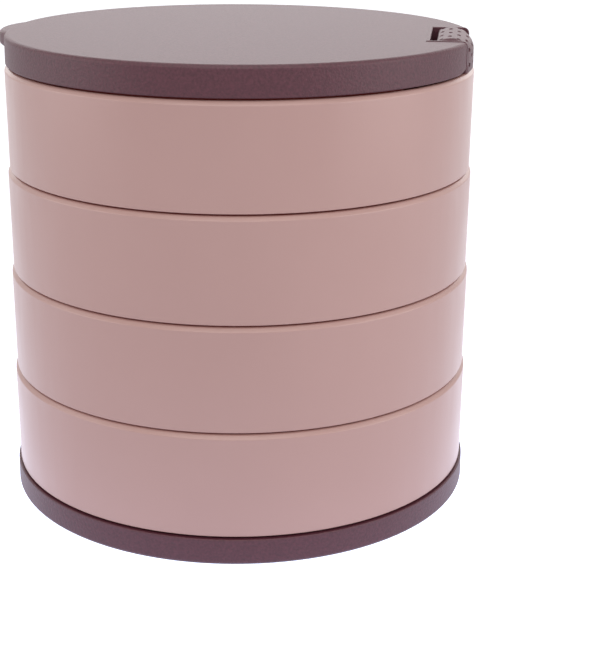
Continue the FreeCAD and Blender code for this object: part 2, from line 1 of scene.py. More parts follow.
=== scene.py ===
"""Looks of a round jewellery box: four trays that swing out about one shaft, under a hinged lid.

Every class holds its sizes in millimetres, in the frame of the CAD parts: origin on the table under the
middle of the box, +Z up, +X towards the shaft. A piece is drawn in millimetres and becomes metres when
its mesh is finished.
"""

import logging
import math
from collections.abc import Iterable
from dataclasses import dataclass, field
from enum import Enum

import bmesh
import bpy
from mathutils import Matrix, Vector, noise
from mathutils.bvhtree import BVHTree


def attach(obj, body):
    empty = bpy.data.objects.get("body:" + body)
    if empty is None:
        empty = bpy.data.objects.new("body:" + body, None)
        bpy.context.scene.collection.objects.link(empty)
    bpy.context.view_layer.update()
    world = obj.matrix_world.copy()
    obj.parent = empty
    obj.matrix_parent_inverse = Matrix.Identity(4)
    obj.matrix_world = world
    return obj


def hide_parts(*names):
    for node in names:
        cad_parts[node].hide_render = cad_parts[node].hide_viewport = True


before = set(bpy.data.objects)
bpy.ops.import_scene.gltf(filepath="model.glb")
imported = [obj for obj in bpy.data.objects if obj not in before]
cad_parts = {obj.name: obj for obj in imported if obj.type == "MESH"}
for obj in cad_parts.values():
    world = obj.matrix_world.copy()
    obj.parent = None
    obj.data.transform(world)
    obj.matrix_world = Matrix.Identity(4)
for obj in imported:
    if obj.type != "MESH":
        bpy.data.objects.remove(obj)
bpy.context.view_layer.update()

log = logging.getLogger("jewellery_box")
logging.basicConfig(level=logging.INFO, format="%(name)s: %(message)s")

MM = 0.001
ROUND_STEPS = 160

# Angles in radians. Edges that turn more than SHARP are shaded sharp, those over CREASE may be rounded,
# and those over SQUARE are nearly square. Faces that turn less than a FLAT angle are made one.
SHARP = math.radians(32)
CREASE = SHARP * 0.6
SQUARE = 1.2
FLAT_CAD = math.radians(0.4)
FLAT_CUT = math.radians(0.3)

# Vertices nearer than these are merged: in a drawing, in a CAD mesh and after a cut.
MERGE = 1e-4
MERGE_CAD = 5e-4
MERGE_CUT = 1e-3

# As edges are picked, places nearer than TOUCH are the same, and a moulding's outside is a zone.
TOUCH = 0.01
OUTER_ZONE = 1.0

# Tools that cut right through reach this far out along X, down and up. Others reach too far by SPARE.
PAST_RIM = 80.0
BELOW_LID = 80.0
ABOVE_LID = 120.0
SPARE = 1.0

# Most of a noise lies between these.
NOISE_SPAN = (0.3, 0.7)

# A drawing is a mesh that is still being shaped, and a span is a low and a high value.
Drawing = bmesh.types.BMesh
Span = tuple[float, float]
Triple = tuple[float, float, float]


# Drawing


class Join(Enum):
    """What one drawing does to another, under the Boolean modifier's names."""

    ADD = "UNION"
    CUT = "DIFFERENCE"
    KEEP = "INTERSECT"


class Round(Enum):
    """What is rounded, under the bevel operator's names."""

    CORNERS = "VERTICES"
    EDGES = "EDGES"


@dataclass(frozen=True)
class Corner:
    """A corner of a section: distance from the axis, height, and the radius that rounds it."""

    r: float
    z: float
    ease: float = 0.0


def rounded(bm: Drawing, geom: list[bmesh.types.BMEdge] | list[bmesh.types.BMVert], size: float,
            steps: int, kind: Round = Round.EDGES) -> None:
    """Rounds edges, or the corners of a flat face.

    Args:
        bm: The drawing.
        geom: The edges or the corners.
        size: Width of the rounding on each side.
        steps: Segments across it.
        kind: Which of the two they are.
    """
    bmesh.ops.bevel(bm, geom=geom, offset=size, offset_type="OFFSET", segments=steps, profile=0.5,
                    affect=kind.value, clamp_overlap=False, material=-1)


def section(corners: Iterable[Corner], steps: int = 5) -> Drawing:
    """A flat face in the XZ plane, with its corners rounded by a vertex bevel.

    Args:
        corners: The corners in order.
        steps: Segments in each rounding.

    Returns:
        A mesh with the one face.
    """
    bm = bmesh.new()
    drawn = [(bm.verts.new((c.r, 0, c.z)), c.ease) for c in corners]
    bm.faces.new([vert for vert, _ in drawn])
    for vert, ease in drawn:
        if ease > 0:
            ways = [(e.other_vert(vert).co - vert.co).normalized() for e in vert.link_edges]
            half = ways[0].angle(ways[1]) / 2
            rounded(bm, [vert], ease / math.tan(half), steps, Round.CORNERS)
    return bm


def turned(corners: Iterable[Corner], steps: int = ROUND_STEPS) -> Drawing:
    """A section turned about the upright axis through the origin.

    Args:
        corners: The corners of the section.
        steps: Segments around.

    Returns:
        A closed mesh.
    """
    bm = section(corners)
    bmesh.ops.delete(bm, geom=bm.faces[:], context="FACES_ONLY")
    on_axis = [e for e in bm.edges if all(abs(v.co.x) < MERGE for v in e.verts)]
    bmesh.ops.delete(bm, geom=on_axis, context="EDGES")
    bmesh.ops.spin(bm, geom=bm.verts[:] + bm.edges[:], cent=(0, 0, 0), axis=(0, 0, 1), angle=math.tau,
                   steps=steps, use_merge=True)
    bmesh.ops.remove_doubles(bm, verts=bm.verts, dist=MERGE)
    bmesh.ops.recalc_face_normals(bm, faces=bm.faces)
    return bm


def drawn_along(corners: Iterable[Corner], half: float, slices: int, steps: int) -> Drawing:
    """A section drawn out along Y into a bar, centred on Y.

    Args:
        corners: The corners of the section.
        half: Half the bar's length.
        slices: Segments along it.
        steps: Segments in each rounding of the section.

    Returns:
        A closed mesh.
    """
    bm = section(corners, steps)
    bmesh.ops.translate(bm, verts=bm.verts, vec=(0, -half, 0))
    bmesh.ops.spin(bm, geom=bm.faces[:] + bm.edges[:] + bm.verts[:], cent=(0, 0, 0), axis=(0, 1, 0),
                   angle=0.0, dvec=(0, 2 * half / slices, 0), steps=slices)
    bmesh.ops.recalc_face_normals(bm, faces=bm.faces)
    return bm


def cuboid(x: Span, half: float, z: Span) -> Drawing:
    """A box, centred on Y.

    Args:
        x: Low and high along X.
        half: Half its width along Y.
        z: Low and high along Z.

    Returns:
        A closed mesh.
    """
    bm = bmesh.new()
    bmesh.ops.create_cube(bm, size=1.0)
    low, high = Vector((x[0], -half, z[0])), Vector((x[1], half, z[1]))
    bmesh.ops.scale(bm, vec=high - low, verts=bm.verts)
    bmesh.ops.translate(bm, vec=(low + high) / 2, verts=bm.verts)
    return bm


def rod(radius: float, z: Span, x: float = 0.0, y: float = 0.0, steps: int = ROUND_STEPS) -> Drawing:
    """An upright cylinder.

    Args:
        radius: Its radius.
        z: Low and high along Z.
        x: Place of its axis along X.
        y: Place of its axis along Y.
        steps: Segments around.

    Returns:
        A closed mesh.
    """
    bm = bmesh.new()
    bmesh.ops.create_cone(bm, cap_ends=True, segments=steps, radius1=radius, radius2=radius,
                          depth=z[1] - z[0])
    bmesh.ops.translate(bm, vec=(x, y, (z[0] + z[1]) / 2), verts=bm.verts)
    return bm


def cross_rod(radius: float, half: float, x: float, z: float, steps: int = 48) -> Drawing:
    """A cylinder along Y, centred on Y.

    Args:
        radius: Its radius.
        half: Half its length.
        x: Place of its axis along X.
        z: Height of its axis.
        steps: Segments around.

    Returns:
        A closed mesh.
    """
    bm = rod(radius, (-half, half), steps=steps)
    bmesh.ops.rotate(bm, verts=bm.verts, cent=(0, 0, 0), matrix=Matrix.Rotation(math.pi / 2, 3, "X"))
    bmesh.ops.translate(bm, verts=bm.verts, vec=(x, 0, z))
    return bm


def as_mesh(bm: Drawing, name: str) -> bpy.types.Mesh:
    """Writes a drawing to a mesh data block and frees it.

    Args:
        bm: The drawing.
        name: Name of the mesh.

    Returns:
        The mesh, in the drawing's own units.
    """
    mesh = bpy.data.meshes.new(name)
    bm.to_mesh(mesh)
    bm.free()
    return mesh


def linked(name: str, data: bpy.types.ID) -> bpy.types.Object:
    """Puts a new object into the scene.

    Args:
        name: Its name.
        data: Its mesh, light or camera.

    Returns:
        The object, at the origin.
    """
    obj = bpy.data.objects.new(name, data)
    bpy.context.scene.collection.objects.link(obj)
    return obj


def combined(body: Drawing, tool: Drawing, join: Join) -> Drawing:
    """One drawing joined with, cut by or kept inside another.

    Args:
        body: The drawing that is changed.
        tool: The other drawing.
        join: Whether the other is added, cut away or kept to.

    Returns:
        A new drawing. Both old ones are freed.
    """
    first, second = (linked(name, as_mesh(bm, name)) for name, bm in (("first", body), ("second", tool)))
    change = first.modifiers.new("change", "BOOLEAN")
    change.operation = join.value
    change.object = second
    change.solver = "EXACT"
    ready = first.evaluated_get(bpy.context.evaluated_depsgraph_get())
    result = bmesh.new()
    result.from_mesh(ready.to_mesh())
    ready.to_mesh_clear()
    for obj in (first, second):
        mesh = obj.data
        bpy.data.objects.remove(obj)
        bpy.data.meshes.remove(mesh)
    bmesh.ops.remove_doubles(result, verts=result.verts, dist=MERGE_CUT)
    return result


def cad_copy(node: str) -> Drawing:
    """A copy of a CAD node's mesh in millimetres, merged, with its flat faces made whole.

    Args:
        node: Name of the CAD node.

    Returns:
        The drawing.
    """
    bm = bmesh.new()
    bm.from_mesh(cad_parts[node].data)
    bmesh.ops.scale(bm, vec=(1 / MM,) * 3, verts=bm.verts)
    bmesh.ops.remove_doubles(bm, verts=bm.verts, dist=MERGE_CAD)
    bmesh.ops.dissolve_limit(bm, angle_limit=FLAT_CAD, verts=bm.verts, edges=bm.edges)
    return bm


def creases(bm: Drawing, least: float = CREASE) -> list[bmesh.types.BMEdge]:
    """The edges where two faces turn by more than an angle."""
    return [e for e in bm.edges if len(e.link_faces) == 2 and e.calc_face_angle(0.0) > least]


def ease_level(bm: Drawing, z: float, low: float, high: float, size: float, steps: int = 3) -> None:
    """Rounds the creases at one height, between two distances from the middle of the box.

    Args:
        bm: The drawing.
        z: The height.
        low: Least distance.
        high: Greatest distance.
        size: Width of the rounding on each face.
        steps: Segments across it.
    """
    picked = [e for e in creases(bm) if all(
        abs(v.co.z - z) < TOUCH and low <= math.hypot(v.co.x, v.co.y) <= high for v in e.verts)]
    if picked:
        rounded(bm, picked, size, steps)


def share(value: float, low: float, high: float) -> float:
    """How far a value is on its way from low to high, from 0 to 1."""
    return min(max((value - low) / (high - low), 0.0), 1.0)


# Finishes


def linear(code: str) -> tuple[float, float, float, float]:
    """An sRGB hex colour as linear values.

    Args:
        code: Six hex digits.

    Returns:
        Red, green, blue and alpha.
    """
    values = [int(code[i:i + 2], 16) / 255 for i in (0, 2, 4)]
    return (*(v / 12.92 if v <= 0.04045 else ((v + 0.055) / 1.055) ** 2.4 for v in values), 1.0)


def add_node(tree: bpy.types.NodeTree, kind: str,
             links: dict[str | int, bpy.types.NodeSocket] | None = None,
             values: dict[str | int, object] | None = None, **settings: object) -> bpy.types.Node:
    """Adds a node with its settings and links.

    Args:
        tree: The node tree.
        kind: Blender's name of the node type.
        links: Output sockets by the input that they feed.
        values: Constants by input.
        settings: Properties of the node.

    Returns:
        The node.
    """
    node = tree.nodes.new(kind)
    for key, value in settings.items():
        setattr(node, key, value)
    for key, value in (values or {}).items():
        node.inputs[key].default_value = value
    for key, socket in (links or {}).items():
        tree.links.new(socket, node.inputs[key])
    return node


@dataclass(frozen=True)
class Grain:
    """A noise pattern: the size of its grains in millimetres, and octaves of finer noise on them."""

    size: float
    detail: float = 2.0


@dataclass(frozen=True)
class Skin:
    """The nodes of one material, and what a finish does with them. The place is in metres."""

    tree: bpy.types.NodeTree
    shader: bpy.types.Node
    place: bpy.types.NodeSocket

    def drive(self, name: str, grain: Grain, kind: str, entry: str, leave: int,
              values: dict[str | int, object], **settings: object) -> None:
        """Lets grains vary one of the shader's inputs, by way of one more node.

        Args:
            name: The shader's input.
            grain: The pattern.
            kind: Blender's name of the type of the node between.
            entry: The input of that node that takes the pattern.
            leave: Number of the output that goes to the shader.
            values: Constants of that node by input.
            settings: Properties of that node.
        """
        pattern = add_node(self.tree, "ShaderNodeTexNoise", {"Vector": self.place},
                           {"Scale": 1 / (grain.size * MM), "Detail": grain.detail})
        between = add_node(self.tree, kind, {entry: pattern.outputs["Fac"]}, values, **settings)
        self.tree.links.new(between.outputs[leave], self.shader.inputs[name])

    def mottle(self, grain: Grain, colour: str, other: str) -> None:
        """Lets the base colour drift between two, in hex."""
        colours = {6: linear(colour), 7: linear(other)}
        self.drive("Base Color", grain, "ShaderNodeMix", "Factor", 2, colours, data_type="RGBA")

    def dull(self, grain: Grain, low: float, high: float) -> None:
        """Lets the roughness drift between two values."""
        self.drive("Roughness", grain, "ShaderNodeMapRange", "Value", 0, {
            "From Min": NOISE_SPAN[0], "From Max": NOISE_SPAN[1], "To Min": low, "To Max": high})

    def emboss(self, grain: Grain, depth: float) -> None:
        """Gives the surface a relief with a depth in millimetres."""
        self.drive("Normal", grain, "ShaderNodeBump", "Height", 0, {"Distance": depth * MM})

    def fix(self, values: dict[str, object]) -> None:
        """Sets constants on the shader's own inputs."""
        for name, value in values.items():
            self.shader.inputs[name].default_value = value


@dataclass(frozen=True)
class Finish:
    """A finish that one Principled shader gives. A child class adds its pattern."""

    name: str
    colour: str
    roughness: float
    ior: float = 1.5
    metallic: float = 0.0

    def build(self) -> bpy.types.Material:
        """Makes the material, once.

        Returns:
            The material.
        """
        known = bpy.data.materials.get(self.name)
        if known:
            return known
        material = bpy.data.materials.new(self.name)
        material.use_nodes = True
        tree = material.node_tree
        place = add_node(tree, "ShaderNodeTexCoord").outputs["Object"]
        skin = Skin(tree, tree.nodes["Principled BSDF"], place)
        skin.fix({"Base Color": linear(self.colour), "Roughness": self.roughness, "IOR": self.ior,
                  "Metallic": self.metallic})
        self.pattern(skin)
        return material

    def pattern(self, skin: Skin) -> None:
        """Adds the colour variation and relief of the surface."""


@dataclass(frozen=True)
class MouldedSatin(Finish):
    """Dusty pink ABS from a finely blasted mould: an even satin skin, slightly softer where it flowed.

    A faint painted glow over the skin stands for light through its thin walls and keeps the seams dark red,
    not black.
    """

    flow: Grain = Grain(30.0)
    flow_colour: str = "A78780"
    patches: Grain = Grain(12.0, 0.0)
    spread: float = 0.02
    blasting: Grain = Grain(0.45, 0.0)
    depth: float = 0.004
    painted_glow: float = 0.024
    painted_glow_colour: str = "FF5950"

    def pattern(self, skin: Skin) -> None:
        """A painted glow, faint flow clouds, and a blasted grain drawn at half a millimetre so that it
        shows.

        Args:
            skin: The material's nodes.
        """
        # Painted glow: a faint red emission over the whole skin, standing for light through the thin walls.
        skin.fix({"Emission Color": linear(self.painted_glow_colour), "Emission Strength": self.painted_glow})
        skin.mottle(self.flow, self.colour, self.flow_colour)
        skin.dull(self.patches, self.roughness - self.spread, self.roughness + self.spread)
        skin.emboss(self.blasting, self.depth)


@dataclass(frozen=True)
class SparkEroded(Finish):
    """Dark mauve ABS from a spark-eroded mould: a fine pebbled matt grain that breaks up highlights."""

    pebbles: Grain = Grain(0.5)
    pebble_colour: str = "5C2D38"
    depth: float = 0.09

    def pattern(self, skin: Skin) -> None:
        """Pebbles of a tenth of a millimetre, drawn at half a millimetre so that they show."""
        skin.mottle(self.pebbles, self.colour, self.pebble_colour)
        skin.emboss(self.pebbles, self.depth)


@dataclass(frozen=True)
class TurnedMetal(Finish):
    """Zinc-plated steel, turned: a clean grey with fine uneven gloss."""

    patches: Grain = Grain(0.8)
    spread: float = 0.08

    def pattern(self, skin: Skin) -> None:
        """Uneven gloss in millimetre patches."""
        skin.dull(self.patches, self.roughness - self.spread, self.roughness + self.spread)


@dataclass(frozen=True, kw_only=True)
class MattGrain(Finish):
    """Moulded nylon, flocked foam and foam tape: matt, with a fine grain in colour and height."""

    grain: Grain
    grain_colour: str
    depth: float = 0.05
    sheen: float = 0.0

    def pattern(self, skin: Skin) -> None:
        """The grain, with a sheen where short fibres stand up.

        Args:
            skin: The material's nodes.
        """
        skin.fix({"Sheen Weight": self.sheen})
        skin.mottle(self.grain, self.colour, self.grain_colour)
        skin.emboss(self.grain, self.depth)


@dataclass(frozen=True)
class Silvered(Finish):
    """Glass silvered behind, seen as one bright face: near-perfect gloss with faint wiping marks."""

    wiping: Grain = Grain(12.0)
    clean: float = 0.01
    wiped: float = 0.04

    def pattern(self, skin: Skin) -> None:
        """Wiping marks of a centimetre or so, in the gloss alone."""
        skin.dull(self.wiping, self.clean, self.wiped)


@dataclass(frozen=True)
class RibbedRubber(Finish):
    """Moulded rubber with low ribs in rings, which catch the light as fine circles."""

    rib: float = 1.8
    depth: float = 0.25
    grain: Grain = Grain(0.4, 3.0)
    grain_colour: str = "353335"

    def pattern(self, skin: Skin) -> None:
        """Rings about the upright axis of the box. At a scale of 1 the node draws them pi / 10 apart.

        Args:
            skin: The material's nodes.
        """
        skin.mottle(self.grain, self.colour, self.grain_colour)
        rings = add_node(skin.tree, "ShaderNodeTexWave", {"Vector": skin.place},
                         {"Scale": math.pi / 10 / (self.rib * MM)}, wave_type="RINGS", rings_direction="Z")
        ribs = add_node(skin.tree, "ShaderNodeBump", {"Height": rings.outputs["Fac"]},
                        {"Distance": self.depth * MM})
        skin.tree.links.new(ribs.outputs["Normal"], skin.shader.inputs["Normal"])


PINK_ABS = MouldedSatin("moulded_pink_abs", "AD8D86", 0.3, 1.46)
MAUVE_ABS = SparkEroded("spark_eroded_mauve_abs", "2C0C15", 0.48, 1.46)
ZINC_STEEL = TurnedMetal("turned_zinc_steel", "B9BABC", 0.3, metallic=1.0)
NYLON = MattGrain("moulded_nylon", "E6E0D2", 0.45, 1.53, grain=Grain(0.6, 3.0), grain_colour="DCD5C5",
                  depth=0.01)
FLOCK = MattGrain("flocked_foam", "B98C8A", 0.95, grain=Grain(0.18, 3.0), grain_colour="A87A79", sheen=0.5)
FOAM_TAPE = MattGrain("foam_tape", "DADAD6", 0.9, grain=Grain(0.25, 3.0), grain_colour="C8C8C4")
SILVERED_GLASS = Silvered("silvered_glass", "EEF2F1", 0.02, metallic=1.0)
BLACK_RUBBER = RibbedRubber("ribbed_rubber", "2A282A", 0.75, 1.52)


# Pieces


def finished(name: str, bm: Drawing, body: str, finish: Finish, node: str) -> bpy.types.Object:
    """Turns a drawing into a piece that rides on a body.

    Args:
        name: Name of the piece.
        bm: The drawing in millimetres.
        body: The body that carries it.
        finish: Its finish.
        node: The CAD node that it stands for.

    Returns:
        The piece's object, at the origin.
    """
    bmesh.ops.scale(bm, vec=(MM,) * 3, verts=bm.verts)
    mesh = as_mesh(bm, name)
    mesh.shade_smooth()
    mesh.set_sharp_from_angle(angle=SHARP)
    mesh.materials.append(finish.build())
    obj = linked(name, mesh)
    obj.modifiers.new("flat_faces_stay_flat", "WEIGHTED_NORMAL").keep_sharp = True
    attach(obj, body)
    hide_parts(node)
    log.info("%s: %d faces on %s", name, len(mesh.polygons), body)
    return obj


def dress(node: str, finish: Finish) -> None:
    """Gives a CAD node that stays a better material."""
    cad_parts[node].material_slots[0].material = finish.build()
    log.info("%s: dressed in %s", node, finish.name)


@dataclass(frozen=True)
class PanScrew:
    """A screw with a domed head and a cross recess: its place, and its sizes from the seat of the head.

    The taper and the recess are shares of the shank, and of the head and its rise.
    """

    place: Triple
    head: float
    rise: float
    shank: float
    length: float
    upright: bool = True
    dome_ease: float = 0.5
    seat_ease: float = 0.12
    point: float = 0.6
    point_taper: float = 0.6
    recess_length: float = 0.55
    recess_width: float = 0.13
    recess_floor: float = 0.35
    recess_taper: float = 0.55
    steps: int = 48

    def draw(self) -> Drawing:
        """Draws the screw in its place.

        Returns:
            One closed drawing.
        """
        bm = turned([
            Corner(0, self.rise), Corner(self.head, self.rise, self.dome_ease),
            Corner(self.head, 0, self.seat_ease), Corner(self.shank, 0),
            Corner(self.shank, self.point - self.length),
            Corner(self.shank * self.point_taper, -self.length), Corner(0, -self.length),
        ], self.steps)
        long, wide = self.head * self.recess_length, self.head * self.recess_width
        for half_x, half_y in ((long, wide), (wide, long)):
            deep = (self.rise * self.recess_floor, self.rise + SPARE)
            arm = cuboid((-half_x, half_x), half_y, deep)
            for vert in arm.verts:
                if vert.co.z < self.rise:
                    vert.co.xy *= self.recess_taper
            bm = combined(bm, arm, Join.CUT)
        if not self.upright:
            bmesh.ops.rotate(bm, verts=bm.verts, cent=(0, 0, 0), matrix=Matrix.Rotation(math.pi, 3, "X"))
        bmesh.ops.translate(bm, verts=bm.verts, vec=self.place)
        return bm


@dataclass
class Base:
    """The moulded disc under the trays, with its rubber mat."""

    radius: float = 51.025
    top: float = 6.05
    foot: float = 0.4
    chamfer: float = 0.6
    top_ease: float = 0.3
    foot_ease: float = 0.35

    def build(self) -> None:
        """Builds the shell and dresses the mat."""
        bm = cad_copy("base_shell")
        for z, ease in ((self.top, self.top_ease), (self.foot, self.foot_ease),
                        (self.foot + self.chamfer, self.foot_ease)):
            ease_level(bm, z, self.radius - OUTER_ZONE, math.inf, ease)
        finished("base_moulding", bm, "base", MAUVE_ABS, "base_shell")
        dress("grip_mat", BLACK_RUBBER)


@dataclass
class Tray:
    """A moulded tray of the stack, numbered from the top."""

    number: int
    count: int = 4
    height: float = 21.85
    seam: float = 0.4
    radius: float = 50.925
    well: float = 49.325
    floor: float = 1.8
    chamfer: float = 0.8
    divider_drop: float = 2.0
    mouth_zone: float = 0.1
    divider_end: float = 0.3
    rim_ease: float = 0.3
    chamfer_ease: float = 0.2
    foot_ease: float = 0.22
    mouth_ease: float = 0.25
    divider_ease: float = 0.35
    floor_ease: float = 0.8

    def build(self) -> None:
        """Rounds the edges of the tray as its mould does: outside, mouth, dividers and floor."""
        node = f"tray_{self.number}"
        bm = cad_copy(node)
        bottom = Base.top + self.seam + (self.count - self.number) * (self.height + self.seam)
        top, outside = bottom + self.height, self.radius - OUTER_ZONE
        ease_level(bm, top, outside, math.inf, self.rim_ease, 4)
        ease_level(bm, top - self.chamfer, outside, math.inf, self.chamfer_ease)
        ease_level(bm, bottom, outside, math.inf, self.foot_ease)
        ease_level(bm, top, self.well - self.mouth_zone, self.well + self.mouth_zone, self.mouth_ease)
        ease_level(bm, top - self.divider_drop, 0.0, self.well - self.divider_end, self.divider_ease)
        ease_level(bm, bottom + self.floor, 0.0, math.inf, self.floor_ease, 4)
        finished(f"tray_moulding_{self.number}", bm, node, PINK_ABS, node)


@dataclass
class Lid:
    """The lid with its notch and cheeks at the hinge, its finger tab and its mirror.

    An edge of the notch is rounded if its ends are above mouth_end and its middle is above mouth_middle,
    but not within plate_zone of the plate's middle.
    """

    radius: float = 50.7
    bottom: float = 95.45
    top: float = 101.85
    plate: float = 1.8
    skirt: float = 1.7
    rim_ease: float = 0.9
    foot_ease: float = 0.4
    inside_ease: float = 0.5
    notch_x: float = 41.5
    notch_half: float = 11.1
    notch_back: float = 1.8
    notch_back_height: float = 4.6
    notch_ease: float = 0.22
    mouth_end: float = 97.0
    mouth_middle: float = 98.0
    plate_zone: float = 0.05
    cheek: float = 2.4
    cheek_rise: float = 0.2
    lip_width: float = 0.75
    lip_rise: float = 0.16
    lip_foot: float = 0.6
    lip_root: float = 0.8
    lip_rim_ease: float = 1.1
    lip_edge_ease: float = 0.128
    lip_buried: float = 3.0
    pin: tuple[float, float] = (47.0, 98.2)
    pin_hole: float = 1.08
    pin_reach: float = 2.0
    sweep: float = 2.8
    sweep_half: float = 25.0
    sweep_reach: float = 30.0
    bezel: Span = (37.3, 38.5)
    bezel_z: float = 97.5
    bezel_ease: float = 0.25
    bezel_root: float = 0.3
    tab_radius: float = 17.0
    tab_reach: float = 2.8
    tab_blend: float = 7.0
    tab_top: float = 101.5
    tab_height: float = 3.4
    tab_ease: float = 1.1
    glass: float = 36.98
    glass_back: float = 99.55
    glass_face: float = 97.76
    glass_bevel_radius: float = 36.2
    glass_bevel_top: float = 98.3
    glass_ease: float = 0.1

    def build(self) -> None:
        """Builds the lid and the mirror, and dresses the tape."""
        notch = cuboid((self.notch_x, PAST_RIM), self.notch_half, (BELOW_LID, ABOVE_LID))
        bm = self.shell()
        for part in (self.tab, self.hinge_box, self.lip):
            bm = combined(bm, part(), Join.ADD)
        bm = combined(bm, notch, Join.CUT)
        bmesh.ops.dissolve_limit(bm, angle_limit=FLAT_CUT, verts=bm.verts, edges=bm.edges)
        self.ease_notch(bm)
        bm = combined(bm, self.sweep_room(), Join.CUT)
        pin = cross_rod(self.pin_hole, self.notch_half + self.pin_reach, *self.pin)
        bm = combined(bm, pin, Join.CUT)
        finished("lid_moulding", bm, "lid", MAUVE_ABS, "lid")
        glass = turned([
            Corner(0, self.glass_back), Corner(self.glass, self.glass_back, self.glass_ease),
            Corner(self.glass, self.glass_bevel_top), Corner(self.glass_bevel_radius, self.glass_face),
            Corner(0, self.glass_face),
        ])
        finished("mirror_glass", glass, "lid", SILVERED_GLASS, "mirror")
        dress("mirror_tape", FOAM_TAPE)

    def shell(self) -> Drawing:
        """Draws the turned plate, skirt and bezel.

        Returns:
            A closed drawing.
        """
        inside, under = self.radius - self.skirt, self.top - self.plate
        low, high = self.bezel
        return turned([
            Corner(0, self.top), Corner(self.radius, self.top, self.rim_ease),
            Corner(self.radius, self.bottom, self.foot_ease), Corner(inside, self.bottom, self.foot_ease),
            Corner(inside, under, self.inside_ease), Corner(high, under, self.bezel_root),
            Corner(high, self.bezel_z, self.bezel_ease), Corner(low, self.bezel_z, self.bezel_ease),
            Corner(low, under), Corner(0, under),
        ])

    def tab(self) -> Drawing:
        """Draws the finger tab: one wide arc, blended into the rim by two small ones.

        Returns:
            A closed drawing, which reaches into the lid.
        """
        hub = -(self.radius + self.tab_reach - self.tab_radius)
        orbit, reach = self.radius + self.tab_blend, self.tab_radius + self.tab_blend
        x = (reach ** 2 - orbit ** 2 - hub ** 2) / (-2 * hub)
        y = math.sqrt(orbit ** 2 - x ** 2)
        on_rim = Vector((x, y, 0)) * self.radius / orbit
        blend = math.atan2(y, x - hub) - math.atan2(y, x)
        wide = 2 * (math.pi - math.atan2(y, x - hub))
        bm = bmesh.new()
        start = end = bm.verts.new(on_rim)
        for centre, angle, steps in (
                ((x, y, 0), blend, 8), ((hub, 0, 0), wide, 32), ((x, -y, 0), blend, 8)):
            swept = bmesh.ops.spin(bm, geom=[end], cent=centre, axis=(0, 0, 1), angle=angle, steps=steps)
            end = next(g for g in swept["geom_last"] if isinstance(g, bmesh.types.BMVert))
        chord = bm.edges.new((start, end)).calc_length()
        face = bmesh.ops.edgeloop_fill(bm, edges=bm.edges[:])["faces"][0]
        raised = bmesh.ops.extrude_face_region(bm, geom=[face])["geom"]
        top = [g for g in raised if isinstance(g, bmesh.types.BMVert)]
        bmesh.ops.translate(bm, verts=top, vec=(0, 0, self.tab_height))
        bmesh.ops.translate(bm, verts=bm.verts, vec=(0, 0, self.tab_top - self.tab_height))
        bmesh.ops.recalc_face_normals(bm, faces=bm.faces)
        outline = [e for e in bm.edges if abs(e.verts[0].co.z - e.verts[1].co.z) < MERGE
                   and e.calc_length() < chord / 2]
        rounded(bm, outline, self.tab_ease, 5)
        return bm

    def hinge_box(self) -> Drawing:
        """Draws the cheeks and the wall behind the notch, ended inside the plate and the skirt.

        Returns:
            A closed drawing.
        """
        half, back = self.notch_half + self.cheek, self.notch_x - self.notch_back
        box = cuboid((back, PAST_RIM), half, (self.bottom + self.cheek_rise, self.top - self.plate / 2))
        box = combined(box, rod(self.radius - self.skirt / 2, (BELOW_LID, ABOVE_LID)), Join.KEEP)
        under = cuboid((back - SPARE, self.notch_x + SPARE), self.notch_half,
                       (BELOW_LID, self.top - self.notch_back_height))
        return combined(box, under, Join.CUT)

    def lip(self) -> Drawing:
        """Draws the low raised frame that the notch is cut through, over the top and down the rim.

        Returns:
            A closed drawing.
        """
        half = self.notch_half + self.lip_width
        foot = self.bottom + self.lip_foot
        block = cuboid((self.notch_x - self.lip_width, PAST_RIM), half, (foot, ABOVE_LID))
        out, up = self.radius + self.lip_rise / 2, self.top + self.lip_rise
        root, floor = self.radius - self.lip_root, self.top - self.lip_root
        skin = turned([
            Corner(0, up), Corner(out, up, self.lip_rim_ease), Corner(out, self.bottom),
            Corner(root, self.bottom), Corner(root, floor), Corner(0, floor),
        ])
        bm = combined(block, skin, Join.KEEP)

        def buried(p: Vector) -> bool:
            """Whether a place is inside the plate, away from the rim."""
            return p.z < floor + TOUCH and p.x < self.radius - self.lip_buried

        rims = [e for e in creases(bm, SQUARE) if e.is_convex and not all(buried(v.co) for v in e.verts)
                and all(v.co.z > foot + TOUCH for v in e.verts)]
        rounded(bm, rims, self.lip_edge_ease, 3)
        return bm

    def ease_notch(self, bm: Drawing) -> None:
        """Rounds the mouth of the notch, over the top and down the rim.

        Args:
            bm: The lid.
        """
        plate_middle = self.top - self.plate / 2

        def on_wall(p: Vector) -> bool:
            """Whether a place is on a wall of the notch, above the ends of its mouth."""
            x, y = p.x - self.notch_x, abs(p.y) - self.notch_half
            return p.z > self.mouth_end and (max(abs(x), y) < TOUCH or max(abs(y), -x) < TOUCH)

        picked = [e for e in creases(bm, SQUARE) if e.is_convex and all(on_wall(v.co) for v in e.verts)
                  and (e.verts[0].co + e.verts[1].co).z / 2 > self.mouth_middle
                  and not all(abs(v.co.z - plate_middle) < self.plate_zone for v in e.verts)]
        rounded(bm, picked, self.notch_ease, 4)

    def sweep_room(self) -> Drawing:
        """Draws what is cut from the skirt so that it clears the tray rim as the lid opens.

        Returns:
            A closed drawing.
        """
        corner = cuboid((self.pin[0], PAST_RIM), self.sweep_half, (BELOW_LID, self.pin[1]))
        tool = cross_rod(self.sweep, self.sweep_reach, *self.pin, 96)
        return combined(corner, tool, Join.CUT)


